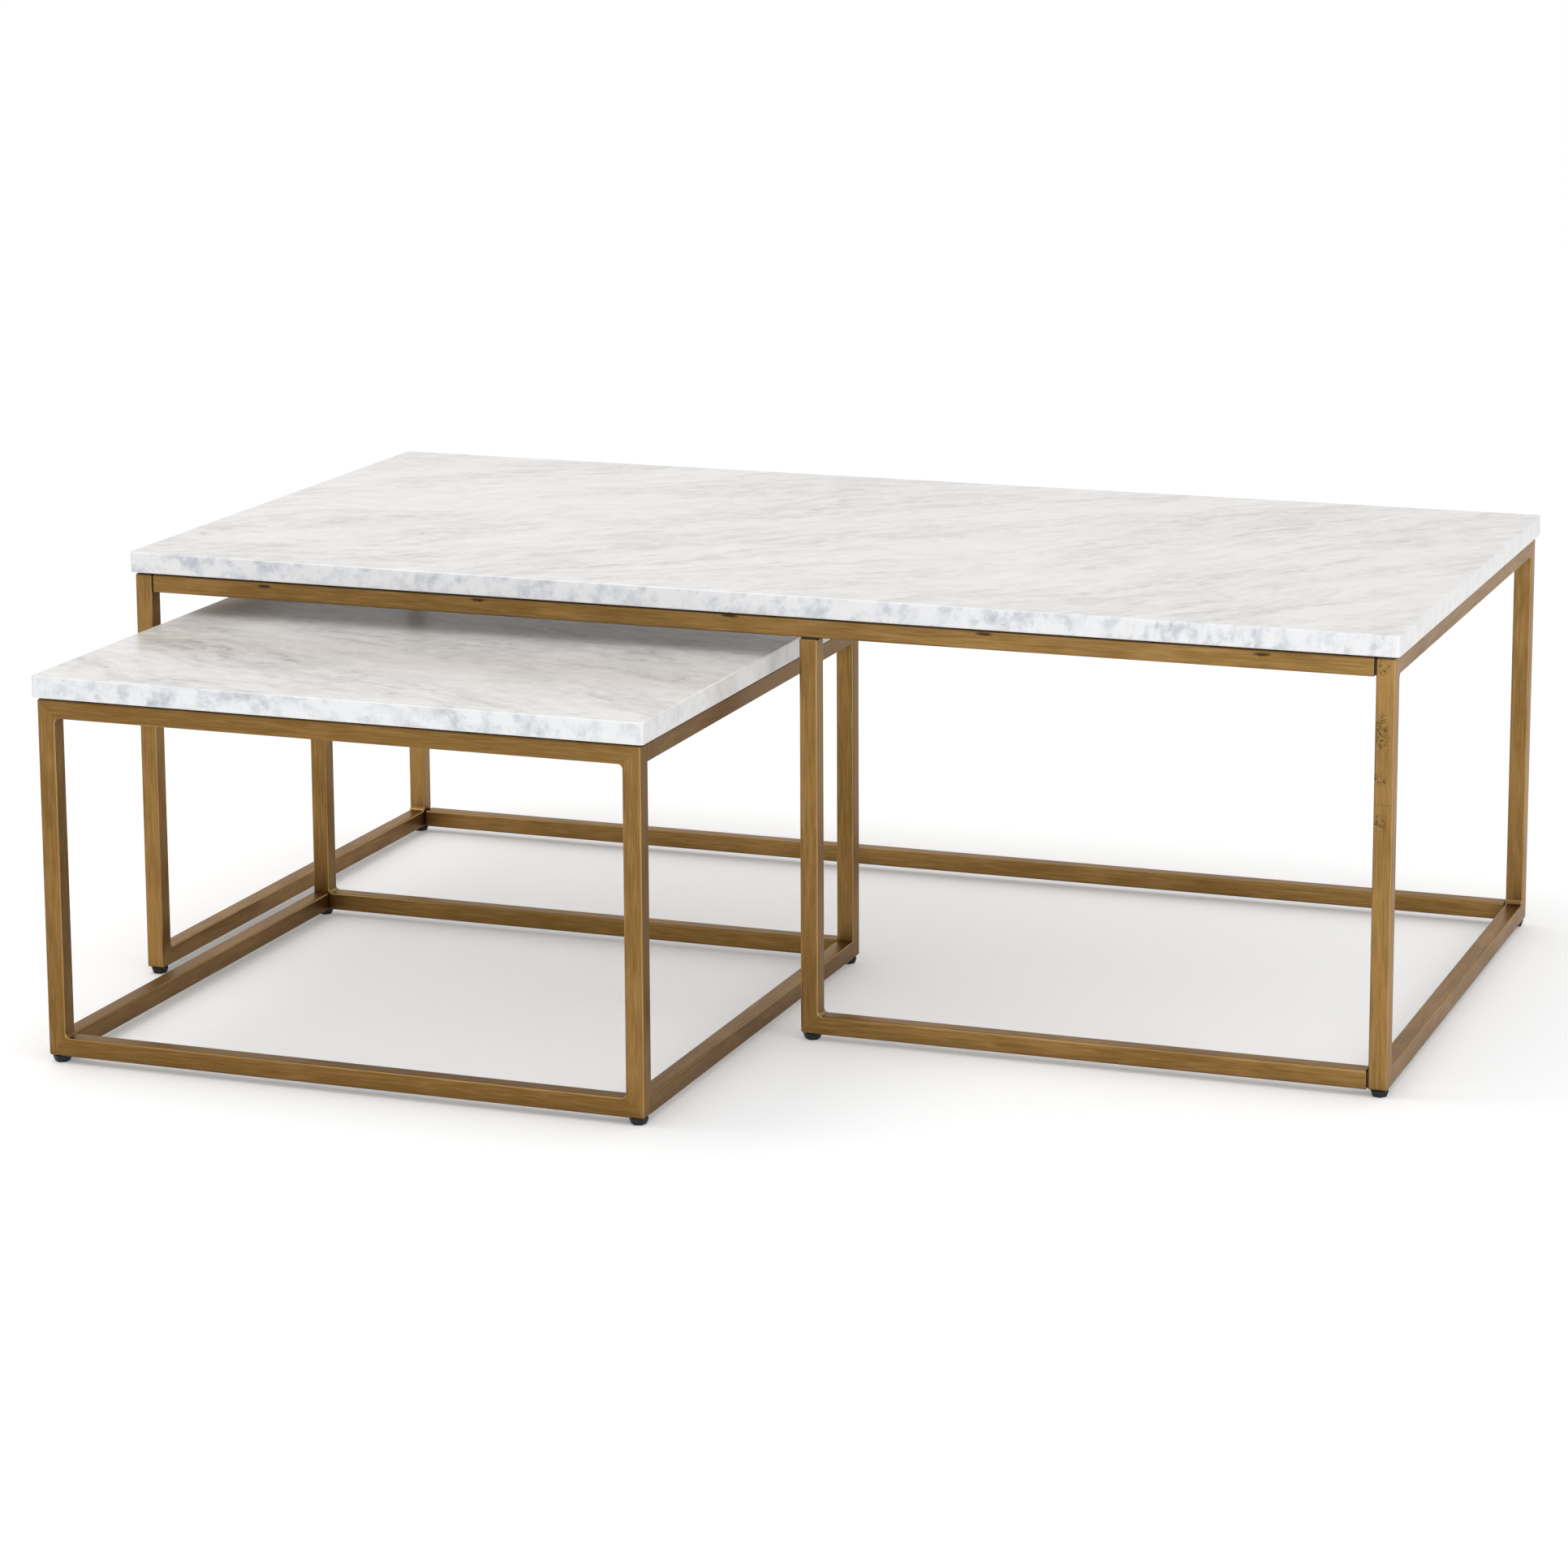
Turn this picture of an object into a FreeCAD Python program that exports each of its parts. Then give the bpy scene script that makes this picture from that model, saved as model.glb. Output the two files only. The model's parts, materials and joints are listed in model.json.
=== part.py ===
import FreeCAD, Part
import math
import os
import sys

import Sketcher

# Two nesting tables. Each is a marble slab on a frame of square brass tube. The small table slides
# under the large one through a bay in the front of the large frame. Millimetres, +Z up, +X to the
# right along the long side, +Y from the front to the back. The origin is on the floor, in the
# middle of the pair's footprint, with the small table drawn out by small_out.

DRIVING_SIZES = [
    ("large_width", 1270, "large slab, left to right"),
    ("large_depth", 650, "large slab, front to back"),
    ("large_height", 430, "floor to the top of the large slab"),
    ("small_width", 609, "small slab, left to right"),
    ("small_depth", 588, "small slab, front to back"),
    ("small_height", 370, "floor to the top of the small slab"),
    ("small_inset", 57, "left edge of the large slab to left edge of the small one"),
    ("small_out", 300, "how far the small slab stands in front of the large one"),
    ("slab_thick", 20.5, "marble slab"),
    ("slab_corner", 5, "radius of a slab's upright corners"),
    ("slab_arris", 1.5, "radius along a slab's top and bottom edges"),
    ("overhang", 4.5, "slab edge to frame"),
    ("pad_thick", 1.5, "clear pad between slab and frame"),
    ("pad_radius", 6, "clear pad"),
    ("tube_side", 18, "square tube, outside"),
    ("tube_wall", 1.5, "square tube, wall"),
    ("tube_edge", 2, "square tube, radius along its outer edges"),
    ("tube_end_edge", 0.8, "square tube, radius round a plain end"),
    ("weld_radius", 4.5, "ground weld inside a mitred corner"),
    ("corner_radius", 2.5, "ground outer point of a mitred corner"),
    ("bay_width", 700, "left edge of the large slab to the middle leg"),
    ("large_joint", 1.6, "open line at a butt joint of the large frame"),
    ("small_joint", 0.8, "open line at a butt joint of the small frame"),
    ("spigot_reach", 14, "joint spigot inside its tube"),
    ("foot_height", 7, "floor to the underside of a frame"),
    ("foot_flats", 16, "hexagonal foot, across its flats"),
    ("foot_taper_height", 4.6, "tapered lower part of a foot"),
    ("foot_taper", 18, "degrees that the lower part of a foot leans in"),
    ("foot_gap", 0.3, "top of a foot to the underside of the frame"),
    ("foot_edge", 0.8, "radius round the sole of a foot"),
    ("socket_depth", 4, "how deep a stud is moulded into its foot"),
    ("stud_radius", 4, "M8 stud"),
    ("stud_length", 20, "M8 stud"),
    ("stud_clearance", 0.05, "between a stud and its nut"),
    ("nut_radius", 5.5, "blind rivet nut, outside"),
    ("nut_length", 16, "blind rivet nut"),
]
FOOT_TURNS = [8.0, 21.0, 49.0, 3.0, 34.0, 27.0, 14.0, 41.0, 55.0]  # degrees, as screwed home by hand

RIGHT = FreeCAD.Vector(1, 0, 0)
BACK = FreeCAD.Vector(0, 1, 0)
UP = FreeCAD.Vector(0, 0, 1)

os.makedirs("parts", exist_ok=True)
doc = FreeCAD.newDocument("nesting_tables")
sheet = doc.addObject("Spreadsheet::Sheet", "Sizes")
for row, (alias, number, note) in enumerate(DRIVING_SIZES, start=1):
    sheet.set(f"A{row}", alias)
    sheet.set(f"B{row}", str(number))
    sheet.set(f"C{row}", note)
    sheet.setAlias(f"B{row}", alias)
doc.recompute()


class Size:
    """A length kept both as a number and as the expression that drives it from the sheet."""

    def __init__(self, number, text):
        self.number = number
        self.text = text

    def __add__(self, other):
        other = as_size(other)
        return Size(self.number + other.number, f"({self.text} + {other.text})")

    def __sub__(self, other):
        other = as_size(other)
        return Size(self.number - other.number, f"({self.text} - {other.text})")

    def __mul__(self, factor):
        return Size(self.number * factor, f"({self.text} * {factor})")

    __radd__ = __add__
    __rmul__ = __mul__


def as_size(value):
    return value if isinstance(value, Size) else Size(value, f"({value})")


class Sheet:
    """The cells of the spreadsheet by alias."""

    def __getattr__(self, alias):
        return Size(float(getattr(sheet, alias)), f"Sizes.{alias}")


sizes = Sheet()
NOTHING = as_size(0)
half_tube = sizes.tube_side * 0.5
bore_side = sizes.tube_side - sizes.tube_wall * 2


def bind(thing, name, value):
    thing.setExpression(name, as_size(value).text)


def place(thing, at, turn=None):
    """Puts an object's own origin at a point given as three sizes, turned as asked."""
    at = [as_size(value) for value in at]
    turn = turn or FreeCAD.Rotation()
    thing.Placement = FreeCAD.Placement(FreeCAD.Vector(*[value.number for value in at]), turn)
    for axis, value in zip("xyz", at):
        bind(thing, f"Placement.Base.{axis}", value)


sub_parts = []


def sub_part(kind, label):
    """Adds a document object that is one piece of the tables."""
    thing = doc.addObject(kind, label)
    thing.Label = label
    sub_parts.append(thing)
    return thing


# ---------------------------------------------------------------- sketches


def sketch_on(body, role, name):
    plane = next(item for item in body.Origin.OriginFeatures if item.Role == role)
    sketch = body.newObject("Sketcher::SketchObject", f"{body.Name}_{name}")
    sketch.AttachmentSupport = (plane, "")
    sketch.MapMode = "FlatFace"
    return sketch


START, END, CENTRE = 1, 2, 3  # the points of a sketch line or arc
ORIGIN = (-1, 1)
X_AXIS, Y_AXIS = -1, -2


def add_line(sketch, x1, y1, x2, y2):
    return sketch.addGeometry(Part.LineSegment(FreeCAD.Vector(x1, y1, 0), FreeCAD.Vector(x2, y2, 0)))


def add_arc(sketch, x, y, radius, from_degrees, to_degrees):
    circle = Part.Circle(FreeCAD.Vector(x, y, 0), UP, radius)
    arc = Part.ArcOfCircle(circle, math.radians(from_degrees), math.radians(to_degrees))
    return sketch.addGeometry(arc)


def relate(sketch, kind, *what):
    return sketch.addConstraint(Sketcher.Constraint(kind, *what))


def measure(sketch, kind, name, value, *what):
    """Adds a dimension and drives it from the sheet."""
    index = sketch.addConstraint(Sketcher.Constraint(kind, *what, value.number))
    sketch.renameConstraint(index, name)
    bind(sketch, f"Constraints.{name}", value)


def rectangle(sketch, width, height, centred):
    """A rectangle about the sketch's origin, or with its lower left corner there."""
    w, h = width.number, height.number
    x, y = (-w / 2, -h / 2) if centred else (0, 0)
    corners = [(x, y), (x + w, y), (x + w, y + h), (x, y + h)]
    lines = [add_line(sketch, *corners[i], *corners[(i + 1) % 4]) for i in range(4)]
    for i in range(4):
        relate(sketch, "Coincident", lines[i], END, lines[(i + 1) % 4], START)
        relate(sketch, "Vertical" if i % 2 else "Horizontal", lines[i])
    if centred:
        relate(sketch, "Symmetric", lines[0], START, lines[2], START, *ORIGIN)
    else:
        relate(sketch, "Coincident", lines[0], START, *ORIGIN)
    measure(sketch, "DistanceX", "wide", width, lines[0], START, lines[0], END)
    measure(sketch, "DistanceY", "high", height, lines[1], START, lines[1], END)


def pad(body, sketch, length, side="One side"):
    feature = body.newObject("PartDesign::Pad", f"{sketch.Name}_pad")
    feature.Profile = sketch
    feature.SideType = side
    bind(feature, "Length", length)
    return feature


def pocket_through(body, sketch, reverse):
    feature = body.newObject("PartDesign::Pocket", f"{sketch.Name}_pocket")
    feature.Profile = sketch
    feature.Type = "ThroughAll"
    feature.Reversed = reverse
    return feature


def round_edges(body, base, radius, chosen):
    """Rounds the edges of the last feature that the test picks."""
    doc.recompute()
    names = [f"Edge{i}" for i, edge in enumerate(base.Shape.Edges, start=1) if chosen(edge)]
    feature = body.newObject("PartDesign::Fillet", f"{base.Name}_round")
    feature.Base = (base, names)
    bind(feature, "Radius", radius)
    return feature


def along(edge, axis):
    """True if an edge is straight and parallel to an axis."""
    if not isinstance(edge.Curve, Part.Line):
        return False
    return abs(abs(edge.Curve.Direction.dot(axis)) - 1) < 1e-6


# ---------------------------------------------------------------- square tube
# A tube runs along its own Z from 0, with the inside of its frame on its own +X side. A mitred end
# is cut at 45 degrees from the frame's outer point. The weld inside the corner is ground to a
# radius that the two tubes share, so each tube carries its half of it.

SQUARE, MITRED = "square", "mitred"
TO_45 = 1 - math.sqrt(0.5)  # how far round an arc's corner its 45 degree point lies


def close_end(sketch, name, outer, inner, point, finish, level, sign):
    """Joins a tube profile's outer and inner edges at one end; sign is +1 at the far end."""
    half = half_tube.number
    if finish == SQUARE:
        end = add_line(sketch, -half, level.number, half, level.number)
        relate(sketch, "Coincident", end, START, outer, point)
        relate(sketch, "Coincident", end, END, inner, point)
        relate(sketch, "Horizontal", end)
        if sign > 0:
            measure(sketch, "DistanceY", f"{name}_level", level, *ORIGIN, end, START)
        else:
            relate(sketch, "PointOnObject", end, START, X_AXIS)
        return
    weld, corner = sizes.weld_radius, sizes.corner_radius
    arc_from, arc_to = (135, 180) if sign > 0 else (180, 225)
    on_mitre, on_edge = (START, END) if sign > 0 else (END, START)
    outer_y = level.number - sign * corner.number
    inner_y = level.number - sign * (sizes.tube_side + weld).number
    outer_arc = add_arc(sketch, corner.number - half, outer_y, corner.number, arc_from, arc_to)
    inner_arc = add_arc(sketch, half + weld.number, inner_y, weld.number, arc_from, arc_to)
    mitre = add_line(
        sketch,
        corner.number * TO_45 - half,
        level.number - sign * corner.number * TO_45,
        half + weld.number * TO_45,
        level.number - sign * (sizes.tube_side.number + weld.number * TO_45),
    )
    for arc, edge, mitre_point in ((outer_arc, outer, START), (inner_arc, inner, END)):
        relate(sketch, "Tangent", arc, on_edge, edge, point)
        relate(sketch, "Perpendicular", mitre, mitre_point, arc, on_mitre)
    measure(sketch, "Radius", f"{name}_corner", corner, outer_arc)
    measure(sketch, "Radius", f"{name}_weld", weld, inner_arc)
    if sign > 0:
        measure(sketch, "DistanceY", f"{name}_outer", level - corner, *ORIGIN, outer_arc, CENTRE)
        inner_centre = level - sizes.tube_side - weld
    else:
        measure(sketch, "DistanceY", f"{name}_outer", corner, *ORIGIN, outer_arc, CENTRE)
        inner_centre = sizes.tube_side + weld
    measure(sketch, "DistanceY", f"{name}_inner", inner_centre, *ORIGIN, inner_arc, CENTRE)


tubes = []


def tube(label, at, run, inward, length, ends=(SQUARE, SQUARE), feet=()):
    """One tube from a point on its axis; feet lists the ends that have a nut in the outer wall."""
    body = sub_part("PartDesign::Body", label)
    tubes.append((body, length))
    reach = [
        (sizes.corner_radius, sizes.tube_side + sizes.weld_radius) if end == MITRED else (NOTHING, NOTHING)
        for end in ends
    ]
    profile = sketch_on(body, "XZ_Plane", "profile")
    outer, inner = (
        add_line(profile, x, reach[0][side].number, x, (length - reach[1][side]).number)
        for side, x in enumerate((-half_tube.number, half_tube.number))
    )
    relate(profile, "Vertical", outer)
    relate(profile, "Vertical", inner)
    measure(profile, "DistanceX", "outer_face", half_tube, outer, START, *ORIGIN)
    measure(profile, "DistanceX", "inner_face", half_tube, *ORIGIN, inner, START)
    close_end(profile, "near", outer, inner, START, ends[0], NOTHING, -1)
    close_end(profile, "far", outer, inner, END, ends[1], length, 1)
    solid = pad(body, profile, sizes.tube_side, "Symmetric")
    plain_levels = [level.number for level, end in zip((NOTHING, length), ends) if end == SQUARE]

    def is_long(edge):
        on_side = all(abs(abs(vertex.Y) - half_tube.number) < 1e-6 for vertex in edge.Vertexes)
        return on_side and (along(edge, UP) or isinstance(edge.Curve, Part.Circle))

    def is_rim(edge):
        return any(all(abs(vertex.Z - level) < 1e-6 for vertex in edge.Vertexes) for level in plain_levels)

    rounded = round_edges(body, solid, sizes.tube_edge, is_long)
    if plain_levels:
        round_edges(body, rounded, sizes.tube_end_edge, is_rim)
    bore = sketch_on(body, "XY_Plane", "bore")
    rectangle(bore, bore_side, bore_side, centred=True)
    pocket_through(body, bore, reverse=True)
    for foot in feet:
        hole = sketch_on(body, "YZ_Plane", f"foot_hole_{foot}")
        level = half_tube if foot == "near" else length - half_tube
        circle = hole.addGeometry(
            Part.Circle(FreeCAD.Vector(0, level.number, 0), UP, sizes.nut_radius.number)
        )
        relate(hole, "PointOnObject", circle, CENTRE, Y_AXIS)
        measure(hole, "DistanceY", "level", level, *ORIGIN, circle, CENTRE)
        measure(hole, "Radius", "round_hole", sizes.nut_radius, circle)
        pocket_through(body, hole, reverse=False)
    place(body, at, FreeCAD.Rotation(inward, run.cross(inward), run, "ZXY"))
    return body


def welded_frame(names, corner, across, width, height, feet_on_base):
    """A closed frame of four mitred tubes: near leg, far leg, rail and base, ground smooth."""
    near_leg, far_leg, rail, base = names
    x, y, z = corner
    x_way, y_way = int(across.x), int(across.y)

    def spot(distance, level):
        return x + distance * x_way, y + distance * y_way, z + level

    both = (MITRED, MITRED)
    feet = ("near", "far") if feet_on_base else ()
    tube(near_leg, spot(half_tube, NOTHING), UP, across, height, both)
    tube(far_leg, spot(width - half_tube, NOTHING), UP, across * -1, height, both)
    tube(rail, spot(NOTHING, height - half_tube), across, UP * -1, width, both)
    tube(base, spot(NOTHING, half_tube), across, UP, width, both, feet)


def spigots(label, joints):
    """Square blocks that carry the butt joints; joints lists (point on the face, way into tube, gap)."""
    blocks = []
    for number, (face, way, gap) in enumerate(joints, start=1):
        block = doc.addObject("Part::Box", f"{label}_{number}")
        bind(block, "Length", bore_side)
        bind(block, "Width", bore_side)
        bind(block, "Height", gap + sizes.spigot_reach)
        side = BACK if abs(way.y) < 0.5 else RIGHT
        turn = FreeCAD.Rotation(side, way.cross(side), way, "ZXY")
        to_corner = turn.multVec(FreeCAD.Vector(-1, -1, 0))
        at = [
            value + bore_side * (step * 0.5)
            for value, step in zip(face, (round(to_corner.x), round(to_corner.y), round(to_corner.z)))
        ]
        place(block, at, turn)
        blocks.append(block)
    group = sub_part("Part::Compound", label)
    group.Links = blocks


def cylinder(name, radius, height, at):
    item = doc.addObject("Part::Cylinder", name)
    bind(item, "Radius", radius)
    bind(item, "Height", height)
    place(item, at)
    return item


def slab(label, x, y, top, width, depth):
    """A polished stone slab with rounded upright corners and eased edges."""
    body = sub_part("PartDesign::Body", label)
    outline = sketch_on(body, "XY_Plane", "outline")
    rectangle(outline, width, depth, centred=False)
    plate = pad(body, outline, sizes.slab_thick)
    corners = round_edges(body, plate, sizes.slab_corner, lambda edge: along(edge, UP))
    round_edges(
        body, corners, sizes.slab_arris, lambda edge: edge.BoundBox.ZLength < sizes.slab_arris.number
    )
    place(body, (x, y, top - sizes.slab_thick))


def pads(label, spots, level):
    """Clear discs that the slab lies on."""
    discs = [
        cylinder(f"{label}_{number}", sizes.pad_radius, sizes.pad_thick, (x, y, level))
        for number, (x, y) in enumerate(spots, start=1)
    ]
    group = sub_part("Part::Compound", label)
    group.Links = discs


def rivet_nuts(label, spots):
    """Threaded inserts set flush in the underside of the frame, one above each foot."""
    nuts = []
    for number, (x, y) in enumerate(spots, start=1):
        at = (x, y, sizes.foot_height)
        barrel = cylinder(f"{label}_{number}_barrel", sizes.nut_radius, sizes.nut_length, at)
        thread = cylinder(
            f"{label}_{number}_thread", sizes.stud_radius + sizes.stud_clearance, sizes.nut_length, at
        )
        nut = doc.addObject("Part::Cut", f"{label}_{number}")
        nut.Base = barrel
        nut.Tool = thread
        nuts.append(nut)
    group = sub_part("Part::Compound", label)
    group.Links = nuts


def foot(label, x, y, turned):
    """A hexagonal levelling foot, tapered below, moulded on an M8 stud."""
    base = sub_part("PartDesign::Body", f"{label}_base")
    outline = sketch_on(base, "XY_Plane", "hexagon")
    radius = sizes.foot_flats * (1 / math.sqrt(3))
    points = [
        (radius.number * math.cos(math.radians(60 * i)), radius.number * math.sin(math.radians(60 * i)))
        for i in range(6)
    ]
    lines = [add_line(outline, *points[i], *points[(i + 1) % 6]) for i in range(6)]
    ring = outline.addGeometry(Part.Circle(FreeCAD.Vector(0, 0, 0), UP, radius.number), True)
    for i in range(6):
        relate(outline, "Coincident", lines[i], END, lines[(i + 1) % 6], START)
        relate(outline, "PointOnObject", lines[i], START, ring)
    for i in range(1, 6):
        relate(outline, "Equal", lines[0], lines[i])
    relate(outline, "PointOnObject", lines[0], START, X_AXIS)
    relate(outline, "Coincident", ring, CENTRE, *ORIGIN)
    measure(outline, "Radius", "points", radius, ring)
    upper_height = sizes.foot_height - sizes.foot_gap - sizes.foot_taper_height
    pad(base, outline, upper_height)
    lower = pad(base, outline, sizes.foot_taper_height)
    lower.Reversed = True
    bind(lower, "TaperAngle", sizes.foot_taper * -1)
    sole = -sizes.foot_taper_height.number
    round_edges(
        base,
        lower,
        sizes.foot_edge,
        lambda edge: all(abs(vertex.Z - sole) < 1e-4 for vertex in edge.Vertexes),
    )
    socket = sketch_on(base, "XY_Plane", "socket")
    socket.AttachmentOffset = FreeCAD.Placement(
        FreeCAD.Vector(0, 0, upper_height.number), FreeCAD.Rotation()
    )
    bind(socket, "AttachmentOffset.Base.z", upper_height)
    circle = socket.addGeometry(Part.Circle(FreeCAD.Vector(0, 0, 0), UP, sizes.stud_radius.number))
    relate(socket, "Coincident", circle, CENTRE, *ORIGIN)
    measure(socket, "Radius", "stud", sizes.stud_radius, circle)
    hole = base.newObject("PartDesign::Pocket", f"{label}_socket_pocket")
    hole.Profile = socket
    bind(hole, "Length", sizes.socket_depth)
    place(base, (x, y, sizes.foot_taper_height), FreeCAD.Rotation(UP, turned))

    stud = sub_part("Part::Cylinder", f"{label}_stud")
    bind(stud, "Radius", sizes.stud_radius)
    bind(stud, "Height", sizes.stud_length)
    place(stud, (x, y, sizes.foot_height - sizes.foot_gap - sizes.socket_depth))


# ---------------------------------------------------------------- large table

left = sizes.large_width * -0.5
front = (sizes.small_out - sizes.large_depth) * 0.5
frame_left = left + sizes.overhang
frame_right = left + sizes.large_width - sizes.overhang
frame_front = front + sizes.overhang
frame_back = front + sizes.large_depth - sizes.overhang
frame_top = sizes.large_height - sizes.slab_thick - sizes.pad_thick
frame_height = frame_top - sizes.foot_height
frame_depth = sizes.large_depth - sizes.overhang * 2
top_level = frame_top - half_tube
base_level = sizes.foot_height + half_tube
joint = sizes.large_joint

slab("large_top", left, front, sizes.large_height, sizes.large_width, sizes.large_depth)
for side, x in (("left", frame_left + half_tube), ("right", frame_right - half_tube)):
    welded_frame(
        (f"large_leg_front_{side}", f"large_leg_back_{side}", f"large_rail_{side}", f"large_stretcher_{side}"),
        (x, frame_front, sizes.foot_height),
        BACK,
        frame_depth,
        frame_height,
        feet_on_base=True,
    )

# The front rail, back rail and back stretcher run between the two side frames.
span_start = frame_left + sizes.tube_side + joint
span = frame_right - sizes.tube_side - joint - span_start
front_axis = frame_front + half_tube
back_axis = frame_back - half_tube
tube("large_rail_front", (span_start, front_axis, top_level), RIGHT, UP * -1, span)
tube("large_rail_back", (span_start, back_axis, top_level), RIGHT, UP * -1, span)
tube("large_stretcher_back", (span_start, back_axis, base_level), RIGHT, UP, span)

# The middle leg and the short front stretcher are one mitred piece that closes the front to the
# right of the bay. The leg ends under the front rail and the stretcher ends at the right-hand leg.
middle_left = left + sizes.bay_width
middle_axis = middle_left + half_tube
tube(
    "large_leg_middle",
    (middle_axis, front_axis, sizes.foot_height),
    UP,
    RIGHT,
    frame_height - sizes.tube_side - joint,
    (MITRED, SQUARE),
)
tube(
    "large_stretcher_front",
    (middle_left, front_axis, base_level),
    RIGHT,
    UP,
    frame_right - sizes.tube_side - joint - middle_left,
    (MITRED, SQUARE),
    ("near",),
)

# A cross bar carries the middle of the slab.
bar_start = frame_front + sizes.tube_side + joint
bar_length = frame_back - sizes.tube_side - joint - bar_start
tube("large_cross_bar", (middle_axis, bar_start, top_level), BACK, UP * -1, bar_length)

left_face = frame_left + sizes.tube_side
right_face = frame_right - sizes.tube_side
large_joints = [
    (place_at, way, joint)
    for place_at, way in [
        ((left_face, front_axis, top_level), RIGHT),
        ((right_face, front_axis, top_level), RIGHT * -1),
        ((left_face, back_axis, top_level), RIGHT),
        ((right_face, back_axis, top_level), RIGHT * -1),
        ((left_face, back_axis, base_level), RIGHT),
        ((right_face, back_axis, base_level), RIGHT * -1),
        ((right_face, front_axis, base_level), RIGHT * -1),
        ((middle_axis, front_axis, frame_top - sizes.tube_side), UP * -1),
        ((middle_axis, frame_front + sizes.tube_side, top_level), BACK),
        ((middle_axis, frame_back - sizes.tube_side, top_level), BACK * -1),
    ]
]
spigots("large_joint_spigots", large_joints)

leg_axes_x = (frame_left + half_tube, frame_right - half_tube)
middle_y = (frame_front + frame_back) * 0.5
large_pad_spots = [(x, y) for x in (*leg_axes_x, middle_axis) for y in (front_axis, middle_y, back_axis)]
pads("large_top_pads", large_pad_spots, frame_top)

large_feet = [
    ("large_foot_front_left", leg_axes_x[0], front_axis),
    ("large_foot_front_middle", middle_axis, front_axis),
    ("large_foot_front_right", leg_axes_x[1], front_axis),
    ("large_foot_back_left", leg_axes_x[0], back_axis),
    ("large_foot_back_right", leg_axes_x[1], back_axis),
]
rivet_nuts("large_rivet_nuts", [(x, y) for _, x, y in large_feet])

# ---------------------------------------------------------------- small table

small_left = left + sizes.small_inset
small_front = front - sizes.small_out
small_frame_left = small_left + sizes.overhang
small_frame_right = small_left + sizes.small_width - sizes.overhang
small_frame_front = small_front + sizes.overhang
small_frame_back = small_front + sizes.small_depth - sizes.overhang
small_frame_top = sizes.small_height - sizes.slab_thick - sizes.pad_thick
small_frame_height = small_frame_top - sizes.foot_height
small_frame_width = sizes.small_width - sizes.overhang * 2
small_top_level = small_frame_top - half_tube
small_joint = sizes.small_joint

slab("small_top", small_left, small_front, sizes.small_height, sizes.small_width, sizes.small_depth)
for end, y in (("front", small_frame_front + half_tube), ("back", small_frame_back - half_tube)):
    welded_frame(
        (f"small_leg_{end}_left", f"small_leg_{end}_right", f"small_rail_{end}", f"small_stretcher_{end}"),
        (small_frame_left, y, sizes.foot_height),
        RIGHT,
        small_frame_width,
        small_frame_height,
        feet_on_base=True,
    )

# The side rails and side stretchers run between the front frame and the back frame.
side_start = small_frame_front + sizes.tube_side + small_joint
side_length = small_frame_back - sizes.tube_side - small_joint - side_start
small_joints = []
for side, x in (("left", small_frame_left + half_tube), ("right", small_frame_right - half_tube)):
    for piece, level, inward in (("rail", small_top_level, UP * -1), ("stretcher", base_level, UP)):
        tube(f"small_{piece}_{side}", (x, side_start, level), BACK, inward, side_length)
        small_joints.append(((x, small_frame_front + sizes.tube_side, level), BACK, small_joint))
        small_joints.append(((x, small_frame_back - sizes.tube_side, level), BACK * -1, small_joint))
spigots("small_joint_spigots", small_joints)

small_axes_x = (small_frame_left + half_tube, small_frame_right - half_tube)
small_axes_y = (small_frame_front + half_tube, small_frame_back - half_tube)
pads("small_top_pads", [(x, y) for x in small_axes_x for y in small_axes_y], small_frame_top)

small_feet = [
    (f"small_foot_{end}_{side}", x, y)
    for end, y in zip(("front", "back"), small_axes_y)
    for side, x in zip(("left", "right"), small_axes_x)
]
rivet_nuts("small_rivet_nuts", [(x, y) for _, x, y in small_feet])

for (name, x, y), turned in zip(large_feet + small_feet, FOOT_TURNS):
    foot(name, x, y, turned)

# ---------------------------------------------------------------- checks and export

doc.recompute()
failed = [thing.Name for thing in doc.Objects if {"Invalid", "Error"} & set(thing.State)]
for thing in sub_parts:
    if thing.Shape.isNull() or not thing.Shape.isValid():
        failed.append(thing.Label)
if failed:
    sys.exit(f"not built: {', '.join(failed)}")

# A pocket that points away from its tube cuts nothing and fails silently, so each wall is weighed.
wall_area = sizes.tube_side.number**2 - bore_side.number**2
WELD_ALLOWANCE = 1.01
for body, length in tubes:
    if body.Shape.Volume > WELD_ALLOWANCE * wall_area * length.number:
        sys.exit(f"{body.Label} has no bore")

for thing in sub_parts:
    thing.Shape.exportStep(f"parts/{thing.Label}.step")
print(f"{len(sub_parts)} sub-parts written")
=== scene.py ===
import json
import math

import bpy
from mathutils import Matrix, Vector, noise

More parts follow.
